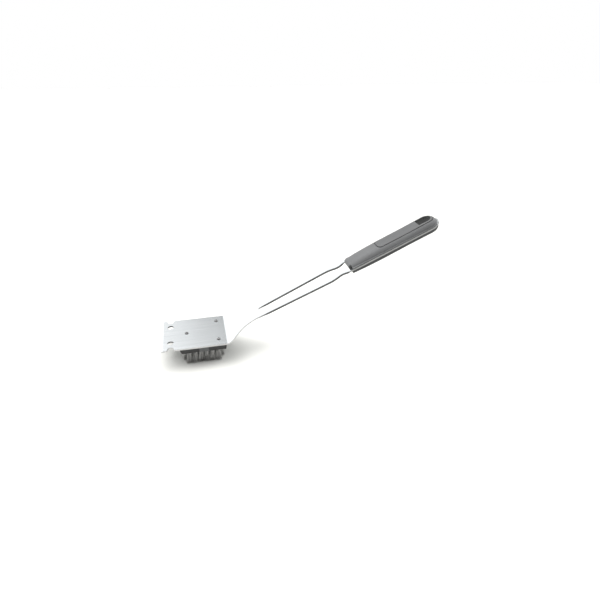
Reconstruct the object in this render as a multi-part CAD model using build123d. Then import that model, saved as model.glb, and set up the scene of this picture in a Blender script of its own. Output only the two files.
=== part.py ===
from build123d import *
import math
import os

# Grill cleaning brush: a bent sheet-steel body (scraper plate, neck, two rails and full tang),
# two handle scales with an inlay, and a moulded brush block with wire tufts under the plate.
#
# Head pieces are drawn in the head frame: X runs from the scraper edge towards the handle,
# Y across, Z = 0 on the top face of the plate. Handle pieces are drawn in the shaft frame:
# X along the shaft from the bend, Y across, Z = 0 on the top face of the sheet.
# At the end every piece moves so that the origin is the middle of the footprint, at the tuft tips.

# ---- sheet-steel body ----
sheet = 2.0
plate_width = 76.0
bend_x = 90.3
shaft_angle = 24.8
bend_inner_radius = 3.0
bevel_length = 3.0
blade_land = 0.8
plate_corner_radius = 1.5
scraper_row_x = 12.8
scraper_hole_radius = 4.25
scraper_hole_y = 20.3
notch_radius = 4.25
notch_depth = 7.0
notch_lip_radius = 2.6

neck_shoulder_s = 3.6
neck_sweep = ((7.4, 36.2), (20.0, 24.0), (33.0, 16.4))
neck_half_width = 13.3
neck_waist_s = 50.0
rail_width = 4.4
rail_start_s = 58.0
rail_start_half_width = 13.9
rail_spread_s = 166.0
rail_spread_half_width = 17.9
rail_waist_s = 189.0
rail_waist_half_width = 14.2
rail_rib_depth = 1.0
rail_rib_start_s = 57.0
rail_rib_full_s = 70.0
rail_rib_fade_s = 194.0
rail_rib_end_s = 199.0
slot_start_s = 55.8
slot_start_half_width = 8.8
slot_full_width_s = 76.0
slot_corner_radius = 1.6
slot_end_s = 212.0

# ---- handle, along the shaft ----
tang_start_s = 204.0
tang_end_s = 347.0
tang_half_width = 17.85
scale_half_width = tang_half_width - 0.4
upper_start_s = 204.0
upper_end_s = 344.8
upper_profile = ((200.0, 5.3), (250.0, 8.3), (290.0, 8.5), (318.0, 9.0), (346.0, 9.4))
upper_shoulder_radius = 9.6
lip_height = 1.8
lip_step = 0.8
lip_tip_step = 0.2
lower_start_s = 201.8
lower_end_s = 345.4
lower_profile = ((201.8, 5.2), (235.0, 6.5), (290.0, 6.0), (348.0, 6.1))
lower_edge_radius = 3.6
lower_front_radius = 1.6
tongue_start_s = 200.1
tongue_half_width = 10.2
tongue_end_s = 210.0
tongue_brow_s = 204.0
tongue_brow_height = 5.9
tongue_face_height = 1.5

hole_start_s = 316.4
hole_half_width = 8.0
hole_end_s = 337.6
hole_corner_radius = 0.6
inlay_start_s = 250.4
inlay_half_width = 10.4
inlay_end_s = hole_end_s + inlay_half_width - hole_half_width
inlay_nose_radius = 6.5
inlay_gap = 0.95
inlay_pocket_floor = 6.3
inlay_rise = 0.3

handle_screw_places = (222.0, 266.0, 306.0)
boss_radius = 3.6
boss_clearance = 0.2
handle_screw_radius = 1.4
handle_screw_head_radius = 3.0
handle_screw_head_height = 2.0
handle_screw_head_edge = 1.2
handle_screw_seat = -5.6
handle_screw_reach = 4.5
screw_clearance = 0.1
shank_clearance = 0.02

# ---- brush block ----
block_top_front_x = 23.4
block_top_rear_x = 90.2
block_bottom_front_x = 26.5
block_bottom_rear_x = 87.9
block_top_half_width = 34.0
block_bottom_half_width = 31.6
block_bottom_z = -13.2
block_edge_radius = 0.8
band_start_x = 50.8
band_end_x = 63.8
band_thickness = 1.6
band_clearance = 0.1

block_screw_places = ((35.2, 0.0), (78.8, 24.3), (78.8, -24.3))
block_screw_head_radius = 2.9
block_screw_head_height = 2.1
block_screw_radius = 1.5
block_screw_reach = 6.6
recess_arm = 3.0
recess_width = 0.8
recess_depth = 1.1

# ---- tufts ----
tip_z = -31.0
tuft_centre_x = 57.1
tuft_pitch = 7.9
row_pitch = 9.0
row_counts = (6, 7, 6, 7, 6, 7, 6)
tuft_root_radius = 2.3
tuft_tip_radius = 3.2
tuft_hole_radius = 2.4
tuft_hole_depth = 5.5
tuft_root_gap = 0.1
anchor_width = 4.6
anchor_thickness = 0.45
anchor_height = 1.4
anchor_clearance = 0.05

beyond = 60.0

os.makedirs("parts", exist_ok=True)

shaft_sin = math.sin(math.radians(shaft_angle))
shaft_cos = math.cos(math.radians(shaft_angle))
rail_slope = (rail_spread_half_width - rail_start_half_width) / (rail_spread_s - rail_start_s)
shaft_frame = Plane(
    origin=(bend_x, 0, 0),
    x_dir=(shaft_cos, 0, shaft_sin),
    z_dir=(-shaft_sin, 0, shaft_cos),
).location


# ------------------------------------------------------------------ helpers
def prism(face, low, high):
    """Extrude a face drawn at height 0 so that it fills the heights from low to high."""
    return extrude(face, amount=high - low, dir=(0, 0, 1)).moved(Location((0, 0, low)))


def post(x, y, radius, low, high):
    """Upright round solid between two heights."""
    return Cylinder(radius, high - low).moved(Location((x, y, (low + high) / 2)))


def slab(x_low, x_high, half_width, low, high):
    """Box that is centred across the tool."""
    middle = ((x_low + x_high) / 2, 0, (low + high) / 2)
    return Box(x_high - x_low, 2 * half_width, high - low).moved(Location(middle))


def side_prism(edges, half_width):
    """Closed outline drawn in X and Y, stood up so that its Y becomes height, and widened."""
    solid = extrude(make_face(edges), amount=half_width, both=True)
    return solid.rotate(Axis.X, 90)


def round_tail(start, end, half_width):
    """Face with a square front and a semicircular rear end."""
    centre = end - half_width
    edges = Line((start, half_width), (centre, half_width))
    edges += ThreePointArc((centre, half_width), (end, 0), (centre, -half_width))
    edges += Line((centre, -half_width), (start, -half_width))
    edges += Line((start, -half_width), (start, half_width))
    return make_face(edges)


def round_front(face, radius):
    """Round the two foremost corners of a face."""
    front = face.bounding_box().min.X
    return fillet([v for v in face.vertices() if v.X < front + 0.1], radius)


def hang_hole():
    """D-shaped hole: flat towards the head, round towards the end of the handle."""
    face = round_tail(hole_start_s, hole_end_s, hole_half_width)
    return prism(round_front(face, hole_corner_radius), -beyond, beyond)


def cross_recess(x, y, top):
    """Cross-shaped driver recess, sunk from the given height."""
    low = top - recess_depth
    arms = Box(recess_arm, recess_width, recess_depth) + Box(recess_width, recess_arm, recess_depth)
    return arms.moved(Location((x, y, (low + top) / 2)))


# ------------------------------------------------------------------ sheet-steel body
def rail_line(inwards):
    """One rail's long edge: it spreads evenly, then pinches in a waist and meets the tang."""
    edges = Spline(
        (rail_spread_s, rail_spread_half_width - inwards),
        (rail_waist_s, rail_waist_half_width - inwards),
        (tang_start_s, tang_half_width - inwards),
        tangents=[(1, rail_slope), (1, 0)],
    )
    return edges


def shaft_outline():
    """Shaft seen along its normal: the neck sweeps in from the plate and becomes two rails."""
    half = plate_width / 2
    tail = tang_end_s - tang_half_width
    side = Line((-beyond, half), (neck_shoulder_s, half))
    side += Spline(
        (neck_shoulder_s, half),
        *neck_sweep,
        (neck_waist_s, neck_half_width),
        (rail_start_s, rail_start_half_width),
        tangents=[(1, 0), (1, rail_slope)],
    )
    side += Line((rail_start_s, rail_start_half_width), (rail_spread_s, rail_spread_half_width))
    side += rail_line(0)
    side += Line((tang_start_s, tang_half_width), (tail, tang_half_width))
    rear = ThreePointArc((tail, tang_half_width), (tang_end_s, 0), (tail, -tang_half_width))
    front = Line((-beyond, -half), (-beyond, half))
    return make_face(side + rear + side.mirror(Plane.XZ) + front)


def slot_outline():
    """Opening between the rails, from the neck to just inside the handle."""
    end_half = tang_half_width - rail_width
    full_half = rail_start_half_width - rail_width + rail_slope * (slot_full_width_s - rail_start_s)
    side = Spline(
        (slot_start_s, slot_start_half_width),
        (slot_full_width_s, full_half),
        tangents=[(1, 0.12), (1, rail_slope)],
    )
    side += Line((slot_full_width_s, full_half), (rail_spread_s, rail_spread_half_width - rail_width))
    side += rail_line(rail_width)
    side += Line((tang_start_s, end_half), (slot_end_s, end_half))
    front = Line((slot_start_s, -slot_start_half_width), (slot_start_s, slot_start_half_width))
    rear = Line((slot_end_s, end_half), (slot_end_s, -end_half))
    face = make_face(side + rear + side.mirror(Plane.XZ) + front)
    ends = (slot_start_s, slot_end_s)
    corners = [v for v in face.vertices() if min(abs(v.X - end) for end in ends) < 0.1]
    return fillet(corners, slot_corner_radius)


def plate_outline():
    """Scraper plate seen from above, with a round-lipped notch in each side edge."""
    half = plate_width / 2
    centre = half - notch_depth + notch_radius
    mouth = beyond - centre
    face = Rectangle(bend_x + beyond, plate_width).moved(Location(((bend_x + beyond) / 2, 0)))
    for side in (1, -1):
        opening = Rectangle(2 * notch_radius, mouth).moved(Location((0, side * mouth / 2)))
        notch = Circle(notch_radius) + opening
        face -= notch.moved(Location((scraper_row_x, side * centre)))
    on_edge = [v for v in face.vertices() if abs(v.Y) > half - 0.1]
    lips = [v for v in on_edge if abs(v.X - scraper_row_x) < 2 * notch_radius]
    face = fillet(lips, notch_lip_radius)
    return fillet([v for v in face.vertices() if v.X < 0.1], plate_corner_radius)


def on_shaft(s, depth):
    """Head-frame X and Z of a point of the shaft, at a depth below the sheet's top face."""
    return (bend_x + s * shaft_cos + depth * shaft_sin, s * shaft_sin - depth * shaft_cos)


def bent_strip():
    """Full-width sheet seen from the side: ground blade, plate, bend, shaft and deeper rails."""
    end = on_shaft(tang_end_s, 0)
    end_below = on_shaft(tang_end_s, sheet)
    deep = sheet + rail_rib_depth
    rib = (
        on_shaft(rail_rib_start_s, sheet),
        on_shaft(rail_rib_full_s, deep),
        on_shaft(rail_rib_fade_s, deep),
        on_shaft(rail_rib_end_s, sheet),
    )
    bend = (bend_x, 0)
    bend_below = (bend_x + sheet * math.tan(math.radians(shaft_angle / 2)), -sheet)
    blade = ((bevel_length, 0), (0, -sheet + blade_land), (0, -sheet))
    face = make_face(Polyline(*blade, bend_below, *rib, end_below, end, bend, close=True))
    face = fillet(face.vertices().sort_by_distance((*bend, 0))[0], bend_inner_radius)
    face = fillet(face.vertices().sort_by_distance((*bend_below, 0))[0], bend_inner_radius + sheet)
    return extrude(face, amount=plate_width / 2, both=True).rotate(Axis.X, 90)


def steel_body():
    """One piece of bent sheet, cut to the plate's and the shaft's outlines, with its openings."""
    width = plate_width
    plate_end = slab(-1, bend_x, width, -beyond, beyond)
    shaft_end = shaft_frame * slab(0, tang_end_s + 1, width, -beyond, beyond)
    plate = prism(plate_outline(), -beyond, beyond) & plate_end
    shaft = (shaft_frame * prism(shaft_outline(), -beyond, beyond)) & shaft_end
    corner = (beyond * shaft_sin, -beyond * shaft_cos)
    below_bend = side_prism(
        Polyline((bend_x, 0), (bend_x, -beyond), (bend_x + corner[0], corner[1]), close=True),
        width / 2,
    )
    body = bent_strip() & (plate + below_bend + shaft)
    for side in (1, -1):
        body -= post(scraper_row_x, side * scraper_hole_y, scraper_hole_radius, -beyond, beyond)
    for x, y in block_screw_places:
        body -= post(x, y, block_screw_radius + screw_clearance, -beyond, beyond)
    body -= shaft_frame * prism(slot_outline(), -beyond, beyond)
    body -= shaft_frame * hang_hole()
    for s in handle_screw_places:
        body -= shaft_frame * post(s, 0, boss_radius + boss_clearance, -beyond, beyond)
    return body


# ------------------------------------------------------------------ handle
def upper_crown():
    """Crowned upper scale with a full-length shoulder, before it is cut at the sheet."""
    base = -upper_shoulder_radius
    start, start_height = upper_profile[0]
    end, end_height = upper_profile[-1]
    edges = Spline(*upper_profile, tangents=[(1, 0.13), (1, 0.01)])
    edges += Line((end, end_height), (end, base))
    edges += Line((end, base), (start, base))
    edges += Line((start, base), (start, start_height))
    outline = round_tail(start, upper_end_s - lip_tip_step, scale_half_width - lip_step)
    crown = side_prism(edges, beyond) & prism(outline, base, beyond)
    above = [e for e in crown.edges() if e.center().Z > start_height - 1]
    return fillet([e for e in above if e.center().X > start + 1], upper_shoulder_radius)


def above_brow():
    """Space above the rounded front of the tongue."""
    face_top = (tongue_start_s, tongue_face_height)
    brow = (tongue_brow_s, tongue_brow_height)
    front = tongue_start_s - 1
    edges = TangentArc(face_top, brow, tangent=(0, 1))
    edges += Line(brow, (tongue_brow_s, beyond))
    edges += Line((tongue_brow_s, beyond), (front, beyond))
    edges += Line((front, beyond), (front, tongue_face_height))
    edges += Line((front, tongue_face_height), face_top)
    return side_prism(edges, beyond)


def inlay_outline(gap):
    """Inlay seen from above: blunt rounded nose, round tail that follows the hang hole."""
    face = round_tail(inlay_start_s - gap, inlay_end_s + gap, inlay_half_width + gap)
    return round_front(face, inlay_nose_radius)


def handle_upper_scale(crown):
    """Upper scale: crown on a thin lip, tongue between the rails, and three screw bosses."""
    lip = prism(round_tail(upper_start_s, upper_end_s, scale_half_width), 0, lip_height)
    scale = (crown & slab(tongue_start_s, upper_end_s, beyond, 0, beyond)) + lip
    over_rails = slab(0, upper_start_s, beyond, -beyond, beyond)
    over_rails -= slab(0, upper_start_s, tongue_half_width, -beyond, beyond)
    scale -= over_rails
    scale -= above_brow()
    scale += slab(tongue_start_s, tongue_end_s, tongue_half_width, -sheet, 1)
    for s in handle_screw_places:
        scale += post(s, 0, boss_radius, -sheet, 1)
    for s in handle_screw_places:
        scale -= post(s, 0, handle_screw_radius, -beyond, handle_screw_reach + screw_clearance)
    scale -= prism(inlay_outline(inlay_gap), inlay_pocket_floor, beyond)
    return scale - hang_hole()


def handle_inlay(crown):
    """Inlay panel: it keeps the crown's own curve and stands a little above it."""
    panel = crown & prism(inlay_outline(0), inlay_pocket_floor - inlay_rise, beyond)
    return panel.moved(Location((0, 0, inlay_rise))) - hang_hole()


def handle_lower_scale():
    """Lower scale: gently bellied slab with rounded lower edges and three counterbores."""
    top = -sheet
    belly = [(s, top - depth) for s, depth in lower_profile]
    start, start_z = belly[0]
    end, end_z = belly[-1]
    edges = Spline(*belly, tangents=[(1, -0.06), (1, 0)])
    edges += Line((end, end_z), (end, beyond))
    edges += Line((end, beyond), (start, beyond))
    edges += Line((start, beyond), (start, start_z))
    outline = round_tail(lower_start_s, lower_end_s, scale_half_width)
    scale = side_prism(edges, beyond) & prism(outline, -beyond, beyond)
    low = [e for e in scale.edges() if e.center().Z < start_z + 1]
    scale = fillet([e for e in low if e.center().X > start + 1], lower_edge_radius)
    front = [e for e in scale.edges() if e.bounding_box().max.X < start + 0.1]
    scale = fillet([e for e in front if e.center().Z < top], lower_front_radius)
    scale &= slab(lower_start_s, lower_end_s, beyond, -beyond, top)
    for s in handle_screw_places:
        scale -= post(s, 0, handle_screw_radius + screw_clearance, -beyond, beyond)
        scale -= post(s, 0, handle_screw_head_radius + screw_clearance, -beyond, handle_screw_seat)
    return scale - hang_hole()


def handle_screws():
    """Three pan-head screws, driven from below into the upper scale's bosses."""
    seat = handle_screw_seat
    screws = []
    for s in handle_screw_places:
        head = post(s, 0, handle_screw_head_radius, seat - handle_screw_head_height, seat)
        head = fillet(head.edges().group_by(Axis.Z)[0], handle_screw_head_edge)
        shank = post(s, 0, handle_screw_radius - shank_clearance, seat, handle_screw_reach)
        recess = cross_recess(s, 0, seat - handle_screw_head_height + recess_depth)
        screws.append(head + shank - recess)
    return screws


# ------------------------------------------------------------------ brush block
def block_form(inset):
    """Block with four sloping sides, shrunk by an inset on its long sides and its top."""
    top = Rectangle(block_top_rear_x - block_top_front_x, 2 * (block_top_half_width - inset))
    bottom = Rectangle(block_bottom_rear_x - block_bottom_front_x, 2 * (block_bottom_half_width - inset))
    top_middle = ((block_top_front_x + block_top_rear_x) / 2, 0, -sheet - inset)
    bottom_middle = ((block_bottom_front_x + block_bottom_rear_x) / 2, 0, block_bottom_z)
    faces = [bottom.moved(Location(bottom_middle)), top.moved(Location(top_middle))]
    return loft(faces, ruled=True)


def rounded_block():
    """Full block form with its side and lower edges broken."""
    form = block_form(0)
    return fillet([e for e in form.edges() if e.center().Z < -sheet - 0.1], block_edge_radius)


def block_band():
    """Saddle band: it lies flush over the block's top and down both long sides."""
    width = slab(band_start_x, band_end_x, beyond, -beyond, beyond)
    return (rounded_block() & width) - block_form(band_thickness)


def tuft_places():
    """Staggered rows: the x positions and the y position of each row."""
    rows = []
    for index, count in enumerate(row_counts):
        y = (index - (len(row_counts) - 1) / 2) * row_pitch
        first = tuft_centre_x - (count - 1) / 2 * tuft_pitch
        rows.append([(first + i * tuft_pitch, y) for i in range(count)])
    return rows


def brush_block():
    """Moulded block with the band's seat, the tuft holes and the screw holes."""
    seat = slab(band_start_x - band_clearance, band_end_x + band_clearance, beyond, -beyond, beyond)
    seat -= block_form(band_thickness)
    block = rounded_block() - seat
    hole_top = block_bottom_z + tuft_hole_depth
    for row in tuft_places():
        block -= [post(x, y, tuft_hole_radius, -beyond, hole_top) for x, y in row]
    for x, y in block_screw_places:
        block -= post(x, y, block_screw_radius, -block_screw_reach - screw_clearance, beyond)
    return block


def block_screws():
    """Three round-head screws that hold the block under the plate."""
    screws = []
    height = block_screw_head_height
    sphere_radius = (block_screw_head_radius**2 + height**2) / (2 * height)
    for x, y in block_screw_places:
        ball = Sphere(sphere_radius).moved(Location((x, y, height - sphere_radius)))
        head = ball & post(x, y, block_screw_head_radius, 0, beyond)
        shank = post(x, y, block_screw_radius - shank_clearance, -block_screw_reach, 0.5)
        screws.append(head + shank - cross_recess(x, y, height))
    return screws


def tuft(x, y):
    """Bundle of wire: straight in its hole, spreading towards the tip, notched for its anchor."""
    root = block_bottom_z + tuft_hole_depth - tuft_root_gap
    bundle = post(x, y, tuft_root_radius, block_bottom_z, root)
    length = block_bottom_z - tip_z
    spread = Cone(tuft_tip_radius, tuft_root_radius, length)
    bundle += spread.moved(Location((x, y, tip_z + length / 2)))
    notch = Box(2 * tuft_hole_radius, anchor_thickness + 2 * anchor_clearance, anchor_height)
    return bundle - notch.moved(Location((x, y, root - anchor_height / 2)))


def anchor(x, y):
    """Flat staple that holds one tuft in the bottom of its hole."""
    root = block_bottom_z + tuft_hole_depth - tuft_root_gap
    plate = Box(anchor_width, anchor_thickness, anchor_height - anchor_clearance)
    return plate.moved(Location((x, y, root - (anchor_height - anchor_clearance) / 2)))


# ------------------------------------------------------------------ all pieces, in one frame
crown = upper_crown()
pieces = {
    "steel_body": steel_body(),
    "handle_upper_scale": shaft_frame * handle_upper_scale(crown),
    "handle_lower_scale": shaft_frame * handle_lower_scale(),
    "handle_inlay": shaft_frame * handle_inlay(crown),
    "handle_screws": shaft_frame * Compound(children=handle_screws()),
    "brush_block": brush_block(),
    "block_band": block_band(),
    "block_screws": Compound(children=block_screws()),
}
for number, row in enumerate(tuft_places(), start=1):
    pieces[f"bristle_row_{number}"] = Compound(children=[tuft(x, y) for x, y in row])
    pieces[f"anchor_row_{number}"] = Compound(children=[anchor(x, y) for x, y in row])

bounds = pieces["steel_body"].bounding_box()
to_origin = Location((-(bounds.min.X + bounds.max.X) / 2, 0, -tip_z))
for name, piece in pieces.items():
    export_step(piece.moved(to_origin), f"parts/{name}.step")
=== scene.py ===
import math
import random

import bmesh
import bpy
from mathutils import Matrix, Vector


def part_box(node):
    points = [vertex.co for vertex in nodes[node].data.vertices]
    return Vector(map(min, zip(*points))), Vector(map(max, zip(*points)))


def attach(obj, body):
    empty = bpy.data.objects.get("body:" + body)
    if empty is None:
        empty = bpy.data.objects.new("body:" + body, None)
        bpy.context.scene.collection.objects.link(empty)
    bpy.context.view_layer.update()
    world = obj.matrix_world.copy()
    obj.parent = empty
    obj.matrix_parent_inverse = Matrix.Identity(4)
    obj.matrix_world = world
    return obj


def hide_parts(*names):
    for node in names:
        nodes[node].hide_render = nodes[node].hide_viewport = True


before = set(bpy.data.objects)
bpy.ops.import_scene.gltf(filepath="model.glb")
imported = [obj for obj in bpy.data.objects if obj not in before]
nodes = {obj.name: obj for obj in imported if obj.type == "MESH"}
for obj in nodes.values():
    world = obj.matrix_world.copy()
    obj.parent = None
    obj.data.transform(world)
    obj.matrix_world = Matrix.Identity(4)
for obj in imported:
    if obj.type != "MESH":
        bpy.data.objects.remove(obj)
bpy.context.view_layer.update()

mm = 0.001
scene = bpy.context.scene

# ------------------------------------------------------------------ camera
CAMERA_PLACE = Vector((-0.14141, -0.58553, 0.40781))
CAMERA_AZIMUTH = math.radians(13.46)
CAMERA_PITCH = math.radians(28.37)
CAMERA_ROLL = math.radians(0.567)
CAMERA_LENS = 28.2
CAMERA_SENSOR = 36.0
CAMERA_SHIFT_Y = -1 / 60
CAMERA_NEAREST = 0.01


def make_camera():
    data = bpy.data.cameras.new("camera")
    data.lens = CAMERA_LENS
    data.sensor_width = CAMERA_SENSOR
    data.shift_y = CAMERA_SHIFT_Y
    data.clip_start = CAMERA_NEAREST
    camera = bpy.data.objects.new("camera", data)
    scene.collection.objects.link(camera)
    turn = Matrix.Rotation(-CAMERA_AZIMUTH, 4, "Z")
    tilt = Matrix.Rotation(math.pi / 2 - CAMERA_PITCH, 4, "X")
    roll = Matrix.Rotation(CAMERA_ROLL, 4, "Z")
    camera.matrix_world = Matrix.Translation(CAMERA_PLACE) @ turn @ tilt @ roll
    scene.camera = camera


# ------------------------------------------------------------------ material helpers
# Most values of a noise texture lie between these two.
NOISE_LOW = 0.3
NOISE_HIGH = 0.7


def fill(tree, socket, value):
    """Links the socket to another one, or sets it to a number, a vector or a colour."""
    if isinstance(value, bpy.types.NodeSocket):
        tree.links.new(value, socket)
    else:
        socket.default_value = value


def add(tree, kind, inputs=None, **settings):
    """One shader node; the inputs go by name, or by number where two share a name."""
    node = tree.nodes.new(kind)
    for name, value in settings.items():
        setattr(node, name, value)
    for name, value in (inputs or {}).items():
        fill(tree, node.inputs[name], value)
    return node


def new_material(name):
    material = bpy.data.materials.new(name)
    material.use_nodes = True
    tree = material.node_tree
    shader = next(n for n in tree.nodes if n.type == "BSDF_PRINCIPLED")
    return material, tree, shader


def noise(tree, features, detail=2.0, roughness=0.5):
    """Noise fixed to the object, with this many features per metre along X, Y and Z."""
    place = add(tree, "ShaderNodeTexCoord").outputs["Object"]
    scaled = add(tree, "ShaderNodeMapping", {"Vector": place, "Scale": features}).outputs["Vector"]
    inputs = {"Vector": scaled, "Scale": 1.0, "Detail": detail, "Roughness": roughness}
    return add(tree, "ShaderNodeTexNoise", inputs).outputs["Fac"]


def spread(tree, value, from_low, from_high, to_low=0.0, to_high=1.0, smooth=False):
    """Maps a value from one range to another, and holds it there at the ends."""
    inputs = {"Value": value, "From Min": from_low, "From Max": from_high}
    inputs.update({"To Min": to_low, "To Max": to_high})
    kind = "SMOOTHSTEP" if smooth else "LINEAR"
    return add(tree, "ShaderNodeMapRange", inputs, interpolation_type=kind).outputs["Result"]


def vary(tree, pattern, to_low=0.0, to_high=1.0):
    """A noise pattern spread over the whole of another range."""
    return spread(tree, pattern, NOISE_LOW, NOISE_HIGH, to_low, to_high)


def math_node(tree, operation, a, b=0.0):
    return add(tree, "ShaderNodeMath", {0: a, 1: b}, operation=operation).outputs[0]


def total(tree, a, b):
    return math_node(tree, "ADD", a, b)


def product(tree, *values):
    result = values[0]
    for value in values[1:]:
        result = math_node(tree, "MULTIPLY", result, value)
    return result


def dot(tree, vector, direction):
    inputs = {0: vector, 1: direction}
    return add(tree, "ShaderNodeVectorMath", inputs, operation="DOT_PRODUCT").outputs["Value"]


def mix_colour(tree, factor, a, b):
    """Colour a where the factor is 0, colour b where it is 1."""
    return add(tree, "ShaderNodeMix", {0: factor, 6: a, 7: b}, data_type="RGBA").outputs[2]


def bump(tree, height, distance, strength):
    inputs = {"Height": height, "Distance": distance, "Strength": strength}
    return add(tree, "ShaderNodeBump", inputs).outputs["Normal"]


def feed(tree, shader, **sockets):
    """Fills the shader's sockets; an underscore stands for a space in a socket's name."""
    for name, value in sockets.items():
        fill(tree, shader.inputs[name.replace("_", " ")], value)


def grey(level, warm=0.0):
    """A grey in which red gains, and blue loses, the share that warm says."""
    return (level * (1 + warm), level, level * (1 - warm), 1.0)


# ------------------------------------------------------------------ steel sheet
SHAFT_ANGLE = math.radians(24.8)
PLATE_UP = Vector((0, 0, 1))
SHAFT_UP = Vector((-math.sin(SHAFT_ANGLE), 0, math.cos(SHAFT_ANGLE)))

# Features per metre: fine brushed lines, broader streaks along them, and clouds.
BRUSHED_LINES = (30, 2600, 30)
BRUSHED_STREAKS = (7, 420, 7)
FACE_CLOUDS = (22, 22, 22)

FACE_DARK = (0.695, 0.725, 0.74, 1)
FACE_LIGHT = (0.78, 0.805, 0.82, 1)
FACE_CLOUD = (0.69, 0.72, 0.735, 1)
CLOUD_STRENGTH = 0.4
FACE_ROUGHNESS = (0.13, 0.20)
CLOUD_ROUGHNESS = 0.04
LINE_HEIGHT = 0.02 * mm
SHEARED_ROUGHNESS = 0.5

# A surface is sheared when it faces neither the plate's way nor the shaft's: fully so when both cosines
# are below the first number, and not at all when one is above the second.
SHEARED_BELOW = 0.55
FLAT_ABOVE = 0.85

# Lowest and highest grey of the sheared edges. The plate edges keep the sheared steel's own darker tone; the
# rail edges' near-black and the tang edge's middle grey are painted shade.
PLATE_EDGE = (0.46, 0.66)
RAIL_EDGE = (0.07, 0.14)
TANG_EDGE = (0.30, 0.42)

# The painted shade on the edges starts along the first part of the rails, and changes again at the handle.
RAIL_EDGE_START_X = -72 * mm
RAIL_EDGE_FULL_X = -52 * mm
TANG_EDGE_START_X = 66 * mm
TANG_EDGE_FULL_X = 70 * mm

# The scraper holes lie before this X and within this distance of the middle. All edges there, the holes'
# walls and the front edge between the notches, get the dark painted shade.
HOLES_END_X = -144 * mm
HOLES_HALF_WIDTH = 28 * mm
HOLES_FADE = 1 * mm


def sheared_mask(tree):
    """1 on the sheet's edges and hole walls, 0 on the faces of plate, neck, rails and tang."""
    normal = add(tree, "ShaderNodeTexCoord").outputs["Normal"]
    on_plate = math_node(tree, "ABSOLUTE", dot(tree, normal, PLATE_UP))
    on_shaft = math_node(tree, "ABSOLUTE", dot(tree, normal, SHAFT_UP))
    flat = math_node(tree, "MAXIMUM", on_plate, on_shaft)
    return spread(tree, flat, SHEARED_BELOW, FLAT_ABOVE, 1.0, 0.0)


def edge_tone_and_painted_shade(tree, fine):
    """The sheared steel's own tone round plate and neck; painted shade darkens it on the rails, at the
    scraper holes and front edge, and less on the tang between the scales.
    """
    place = add(tree, "ShaderNodeTexCoord").outputs["Object"]
    split = add(tree, "ShaderNodeSeparateXYZ", {"Vector": place}).outputs
    from_middle = math_node(tree, "ABSOLUTE", split["Y"])
    past_neck = spread(tree, split["X"], RAIL_EDGE_START_X, RAIL_EDGE_FULL_X)
    on_tang = spread(tree, split["X"], TANG_EDGE_START_X, TANG_EDGE_FULL_X)
    on_rails = product(tree, past_neck, math_node(tree, "SUBTRACT", 1.0, on_tang))
    at_front = spread(tree, split["X"], HOLES_END_X - HOLES_FADE, HOLES_END_X + HOLES_FADE, 1.0, 0.0)
    inside = spread(tree, from_middle, HOLES_HALF_WIDTH - HOLES_FADE, HOLES_HALF_WIDTH + HOLES_FADE, 1.0, 0.0)
    # Painted shade: the dark grey on the rail edges, the scraper-hole walls and the front edge between them.
    dark = math_node(tree, "MAXIMUM", on_rails, product(tree, inside, at_front))
    plate_edge, rail_edge, tang_edge = (
        mix_colour(tree, fine, grey(low), grey(high)) for low, high in (PLATE_EDGE, RAIL_EDGE, TANG_EDGE)
    )
    return mix_colour(tree, on_tang, mix_colour(tree, dark, plate_edge, rail_edge), tang_edge)


def brushed_steel():
    """Stainless sheet: lines brushed along its length, soft clouds, and rougher sheared edges, with painted
    shade on the rail edges, at the scraper holes and on the tang.
    """
    material, tree, shader = new_material("brushed_steel")
    fine = noise(tree, BRUSHED_LINES, detail=3.0, roughness=0.65)
    streaks = noise(tree, BRUSHED_STREAKS, detail=3.0, roughness=0.6)
    cloud = noise(tree, FACE_CLOUDS)
    face = mix_colour(tree, vary(tree, streaks), FACE_DARK, FACE_LIGHT)
    face = mix_colour(tree, spread(tree, cloud, 0.35, NOISE_HIGH, 0.0, CLOUD_STRENGTH), face, FACE_CLOUD)
    sheared = sheared_mask(tree)
    # The sheared edges take their own tone and the painted shade.
    colour = mix_colour(tree, sheared, face, edge_tone_and_painted_shade(tree, fine))
    face_roughness = total(tree, vary(tree, fine, *FACE_ROUGHNESS), vary(tree, cloud, 0.0, CLOUD_ROUGHNESS))
    roughness = math_node(tree, "MAXIMUM", face_roughness, product(tree, sheared, SHEARED_ROUGHNESS))
    feed(tree, shader, Base_Color=colour, Metallic=1.0, Roughness=roughness)
    feed(tree, shader, Normal=bump(tree, fine, LINE_HEIGHT, strength=0.25))
    return material


# ------------------------------------------------------------------ screws, staples, wires, floor
SCREW_GREYS = (0.17, 0.26)
SCREW_ROUGHNESS = (0.20, 0.32)
WIRE_GREYS = (0.27, 0.76)
WIRE_ROUGHNESS = (0.40, 0.55)
FLOOR_DARK = (0.78, 0.78, 0.752, 1)
FLOOR_LIGHT = (0.795, 0.795, 0.767, 1)

# How much of a wire's shade is its own. The rest changes along it.
ISLAND_SHARE = 0.7


def screw_steel():
    """Dark round screws and staples, a little uneven in shade and gloss."""
    material, tree, shader = new_material("screw_steel")
    grain = noise(tree, (900, 900, 900), detail=3.0)
    cloud = noise(tree, (240, 240, 240))
    colour = mix_colour(tree, vary(tree, cloud), *(grey(level) for level in SCREW_GREYS))
    feed(tree, shader, Base_Color=colour, Metallic=1.0, Roughness=vary(tree, grain, *SCREW_ROUGHNESS))
    feed(tree, shader, Normal=bump(tree, grain, 0.03 * mm, strength=0.3))
    return material


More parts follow.
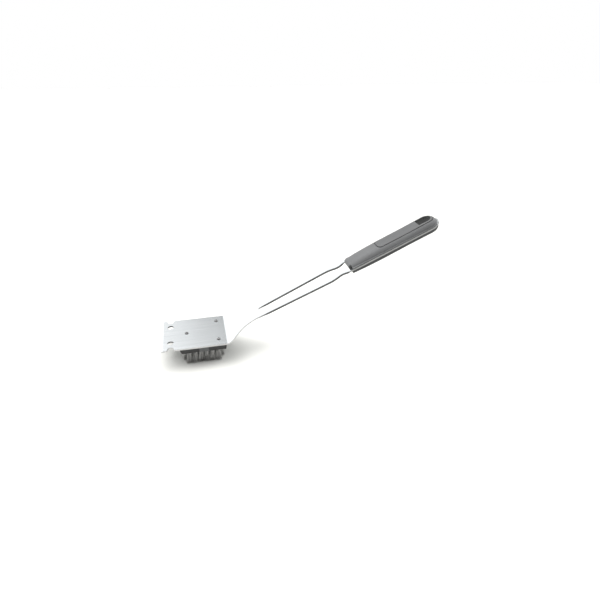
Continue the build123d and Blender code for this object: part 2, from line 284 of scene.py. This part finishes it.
def wire_steel():
    """Spring steel that differs from wire to wire, and a little along each wire."""
    material, tree, shader = new_material("wire_steel")
    island = add(tree, "ShaderNodeNewGeometry").outputs["Random Per Island"]
    streak = noise(tree, (600, 600, 250))
    shade = total(tree, product(tree, island, ISLAND_SHARE), product(tree, streak, 1 - ISLAND_SHARE))
    darkest, lightest = WIRE_GREYS
    colour = mix_colour(tree, shade, grey(darkest), grey(lightest, warm=0.01))
    feed(tree, shader, Base_Color=colour, Metallic=1.0, Roughness=vary(tree, streak, *WIRE_ROUGHNESS))
    return material


def floor_material():
    """Matt, slightly warm white, with no sheen of its own."""
    material, tree, shader = new_material("floor")
    cloud = noise(tree, (3, 3, 3))
    feed(tree, shader, Base_Color=mix_colour(tree, cloud, FLOOR_DARK, FLOOR_LIGHT), Roughness=0.9)
    shader.inputs["Specular IOR Level"].default_value = 0.0
    return material


# ------------------------------------------------------------------ moulded plastics
MOULD_GRAIN = (2200, 2200, 2200)
FLOW_CLOUDS = (45, 90, 90)
PLASTIC_SPECULAR = 0.36
ROUGHNESS_CHANGE = 0.03
SPECKLE_STRENGTH = 0.30
SPECKLE_SHADE = 0.62

# The grey lies between low and high, and a warm below 0 makes it cooler.
PLASTICS = {
    "handle_upper_scale": dict(
        name="handle_upper", low=0.150, high=0.168, roughness=0.60, grain_height=0.08 * mm, warm=-0.02,
    ),
    # The lower scale is the same plastic as the upper one; its darker grey is painted shade under the handle.
    "handle_lower_scale": dict(
        name="handle_lower", low=0.066, high=0.078, roughness=0.58, grain_height=0.08 * mm, warm=-0.02,
    ),
    "handle_inlay": dict(
        name="handle_inlay", low=0.120, high=0.134, roughness=0.52, grain_height=0.05 * mm, warm=-0.02,
    ),
    # The block is the same plastic as the handle; its darker grey is painted shade under the plate.
    "brush_block": dict(
        name="brush_block", low=0.038, high=0.048, roughness=0.50, grain_height=0.06 * mm, warm=0.0,
    ),
    "block_band": dict(
        name="block_band", low=0.125, high=0.142, roughness=0.45, grain_height=0.05 * mm, warm=-0.02,
    ),
}


def moulded(name, low, high, roughness, grain_height, warm):
    """Moulded plastic: fine spark-eroded grain, faint flow clouds and slightly uneven gloss."""
    material, tree, shader = new_material(name)
    grain = noise(tree, MOULD_GRAIN, detail=1.0, roughness=0.6)
    flow = noise(tree, FLOW_CLOUDS, detail=3.0)
    colour = mix_colour(tree, vary(tree, flow), grey(low, warm), grey(high, warm))
    speckle = spread(tree, grain, 0.35, 0.65, 0.0, SPECKLE_STRENGTH)
    colour = mix_colour(tree, speckle, colour, grey(low * SPECKLE_SHADE, warm))
    grain_gloss = vary(tree, grain, -ROUGHNESS_CHANGE, ROUGHNESS_CHANGE)
    flow_gloss = vary(tree, flow, roughness - ROUGHNESS_CHANGE, roughness + ROUGHNESS_CHANGE)
    feed(tree, shader, Base_Color=colour, Roughness=total(tree, grain_gloss, flow_gloss))
    feed(tree, shader, Normal=bump(tree, grain, grain_height, strength=0.6))
    shader.inputs["Specular IOR Level"].default_value = PLASTIC_SPECULAR
    return material


# ------------------------------------------------------------------ tufts
ROW_COUNTS = (6, 7, 6, 7, 6, 7, 6)
ROW_NUMBERS = range(1, len(ROW_COUNTS) + 1)
TUFT_ROOT_RADIUS = 2.3 * mm
TUFT_MIDDLE_RADIUS = 3.2 * mm
TUFT_TIP_RADIUS = 4.0 * mm
HOLE_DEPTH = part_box("bristle_row_1")[1].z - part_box("brush_block")[0].z
ROOT_GAP = 0.05 * mm

# Shares of the free length: where the middle radius is reached, and where the tuft has become square.
MIDDLE_AT = 0.3
SQUARE_AT = 0.4

WIRES_PER_TUFT = 68
WIRE_RADIUS = 0.17 * mm
WIRE_RINGS = 6
WIRE_SIDES = 4
WIRE_SEED = 700

# What differs from wire to wire: its place in the tuft, how far its tip ends above the floor,
# the height and number of its waves, and how far it strays from the tuft's own radius.
PLACE_CHANGE = 0.04
TURN_CHANGE = 0.25
SHORTEST_TIP = 0.6 * mm
WAVE_HEIGHTS = (0.02 * mm, 0.11 * mm)
WAVE_TURNS = (1.2, 2.6)
STRAYS = (0.9, 1.2)

# How far the tips of a row's front tufts splay forward: the first one most, and less and less after it.
FRONT_TUFT_LEAN = -1.7 * mm
LEANING_TUFTS = 3


def wire_places(count, rng):
    """Evenly scattered places in a unit disc, each moved a little."""
    golden = math.pi * (3 - math.sqrt(5))
    places = []
    for i in range(count):
        r = math.sqrt((i + 0.5) / count) * (1 + rng.uniform(-PLACE_CHANGE, PLACE_CHANGE))
        a = i * golden + rng.uniform(-TURN_CHANGE, TURN_CHANGE)
        places.append((min(r, 1.0) * math.cos(a), min(r, 1.0) * math.sin(a)))
    return places


def between(start, end, share):
    """The value at this share of the way from start to end."""
    return start + (end - start) * share


def tuft_radius(free, stray):
    """The tuft's radius at a share of its free length: it opens fast below the hole, then slowly."""
    if free < MIDDLE_AT:
        return between(TUFT_ROOT_RADIUS - WIRE_RADIUS, TUFT_MIDDLE_RADIUS * stray, free / MIDDLE_AT)
    return between(TUFT_MIDDLE_RADIUS, TUFT_TIP_RADIUS, (free - MIDDLE_AT) / (1 - MIDDLE_AT)) * stray


def add_wire(mesh, x, y, place, top, lean, rng):
    """One spring-steel wire: straight at its root, a slight wave, and a tip cut a little off level."""
    tip = rng.uniform(0, 1) ** 2 * SHORTEST_TIP
    wave = rng.uniform(*WAVE_HEIGHTS)
    stray = rng.uniform(*STRAYS)
    wave_angle = rng.uniform(0, 2 * math.pi)
    turns = rng.uniform(*WAVE_TURNS)
    phase = rng.uniform(0, 2 * math.pi)
    to_square = math.hypot(*place) / max(abs(place[0]), abs(place[1]), 1e-6)
    held = HOLE_DEPTH / top
    loops = []
    for ring in range(WIRE_RINGS):
        share = ring / (WIRE_RINGS - 1)
        free = max(0.0, (share - held) / (1 - held))
        reach = tuft_radius(free, stray) * between(1, to_square, min(1.0, free / SQUARE_AT))
        bend = wave * free * math.sin(turns * 2 * math.pi * share + phase)
        cx = x + lean * free + place[0] * reach + bend * math.cos(wave_angle)
        cy = y + place[1] * reach + bend * math.sin(wave_angle)
        z = between(top, tip, share)
        loop = []
        for side in range(WIRE_SIDES):
            a = 2 * math.pi * side / WIRE_SIDES + phase
            corner = (cx + WIRE_RADIUS * math.cos(a), cy + WIRE_RADIUS * math.sin(a), z)
            loop.append(mesh.verts.new(corner))
        loops.append(loop)
    for upper, lower in zip(loops, loops[1:]):
        for side in range(WIRE_SIDES):
            after = (side + 1) % WIRE_SIDES
            face = mesh.faces.new((upper[side], lower[side], lower[after], upper[after]))
            face.smooth = True
    mesh.faces.new(loops[0][::-1])
    mesh.faces.new(loops[-1])


def wire_row(number, material):
    """One row of tufts, wire by wire, in place of the solid tufts of the CAD row."""
    low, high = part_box(f"bristle_row_{number}")
    count = ROW_COUNTS[number - 1]
    rng = random.Random(WIRE_SEED + number)
    mesh = bmesh.new()
    y = (low.y + high.y) / 2
    tuft_width = high.y - low.y
    pitch = (high.x - low.x - tuft_width) / (count - 1)
    for i in range(count):
        x = low.x + tuft_width / 2 + i * pitch
        lean = FRONT_TUFT_LEAN * max(0.0, 1 - i / LEANING_TUFTS)
        for place in wire_places(WIRES_PER_TUFT, rng):
            add_wire(mesh, x, y, place, high.z - ROOT_GAP, lean, rng)
    bmesh.ops.recalc_face_normals(mesh, faces=mesh.faces)
    data = bpy.data.meshes.new(f"wires_row_{number}")
    mesh.to_mesh(data)
    mesh.free()
    data.materials.append(material)
    piece = bpy.data.objects.new(f"wires_row_{number}", data)
    scene.collection.objects.link(piece)
    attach(piece, "root")
    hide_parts(f"bristle_row_{number}")


# ------------------------------------------------------------------ materials on the CAD nodes
def cover(name, material):
    """Gives every slot of a CAD node the same material."""
    for slot in nodes[name].material_slots:
        slot.material = material


def cover_all():
    screws = screw_steel()
    cover("steel_body", brushed_steel())
    for name, plastic in PLASTICS.items():
        cover(name, moulded(**plastic))
    cover("handle_screws", screws)
    cover("block_screws", screws)
    for number in ROW_NUMBERS:
        cover(f"anchor_row_{number}", screws)


# ------------------------------------------------------------------ floor and key light
FLOOR_SIZE = 8.0
FLOOR_CELLS = 8

KEY_PLACE = Vector((-0.5, 0.25, 1.3))
KEY_TARGET = Vector((0, 0, 0.05))
KEY_SIZE = 1.1
KEY_POWER = 8.0


def make_floor():
    mesh = bmesh.new()
    bmesh.ops.create_grid(mesh, x_segments=FLOOR_CELLS, y_segments=FLOOR_CELLS, size=FLOOR_SIZE / 2)
    data = bpy.data.meshes.new("floor")
    mesh.to_mesh(data)
    mesh.free()
    data.materials.append(floor_material())
    floor = bpy.data.objects.new("floor", data)
    scene.collection.objects.link(floor)


def make_key_light():
    data = bpy.data.lights.new("key", "AREA")
    data.shape = "DISK"
    data.size = KEY_SIZE
    data.energy = KEY_POWER
    lamp = bpy.data.objects.new("key", data)
    scene.collection.objects.link(lamp)
    lamp.location = KEY_PLACE
    lamp.rotation_euler = (KEY_TARGET - KEY_PLACE).to_track_quat("-Z", "Y").to_euler()
    lamp.visible_camera = False


# ------------------------------------------------------------------ world
# The studio's brightness, and what each part of it adds or takes away.
STUDIO_LEVEL = 1.45
CARD_CHANGE = -1.2
FRONT_CHANGE = -1.36
CEILING_CHANGE = 1.3
SIDE_CHANGE = 0.5
PANEL_CHANGE = 0.6

# Where each part begins and where it is full, along one axis of a direction of length 1.
CARD_LEFT_X = (-0.17, 0.11)
CARD_RIGHT_X = (0.55, 0.35)
CARD_TOP_Z = (0.70, 0.56)
CARD_Y = (0.0, 0.4)
FRONT_Y = (0.3, -0.35)
CEILING_Z = (0.55, 0.95)
SIDE_X = (0.4, 0.8)
PANEL_DIRECTION = Vector((0.68, -0.68, 0.26)).normalized()
PANEL_COSINE = (0.84, 0.97)


def make_world():
    """A white studio with a dark card at the back right, a dim front, a bright ceiling and right side,
    and a soft panel at the front right. The camera itself sees plain white."""
    world = bpy.data.worlds.new("studio")
    scene.world = world
    world.use_nodes = True
    tree = world.node_tree
    tree.nodes.clear()
    direction = add(tree, "ShaderNodeTexCoord").outputs["Generated"]
    split = add(tree, "ShaderNodeSeparateXYZ", {"Vector": direction}).outputs
    card = product(
        tree,
        spread(tree, split["X"], *CARD_LEFT_X),
        spread(tree, split["Z"], *CARD_TOP_Z, smooth=True),
        spread(tree, split["X"], *CARD_RIGHT_X, smooth=True),
        spread(tree, split["Y"], *CARD_Y, smooth=True),
    )
    front = spread(tree, split["Y"], *FRONT_Y, smooth=True)
    ceiling = spread(tree, split["Z"], *CEILING_Z, smooth=True)
    right_side = spread(tree, split["X"], *SIDE_X, smooth=True)
    panel = spread(tree, dot(tree, direction, PANEL_DIRECTION), *PANEL_COSINE, smooth=True)
    level = STUDIO_LEVEL
    for region, change in (
        (card, CARD_CHANGE),
        (front, FRONT_CHANGE),
        (ceiling, CEILING_CHANGE),
        (right_side, SIDE_CHANGE),
        (panel, PANEL_CHANGE),
    ):
        level = total(tree, level, product(tree, region, change))
    white = (1, 1, 1, 1)
    studio = add(tree, "ShaderNodeBackground", {"Color": white, "Strength": level}).outputs[0]
    plain = add(tree, "ShaderNodeBackground", {"Color": white, "Strength": 1.0}).outputs[0]
    from_camera = add(tree, "ShaderNodeLightPath").outputs["Is Camera Ray"]
    shader = add(tree, "ShaderNodeMixShader", {0: from_camera, 1: studio, 2: plain}).outputs[0]
    add(tree, "ShaderNodeOutputWorld", {"Surface": shader})


# ------------------------------------------------------------------ the scene
make_camera()
cover_all()
wires = wire_steel()
for number in ROW_NUMBERS:
    wire_row(number, wires)
make_floor()
make_world()
make_key_light()

scene.view_settings.view_transform = "Standard"
scene.view_settings.look = "None"
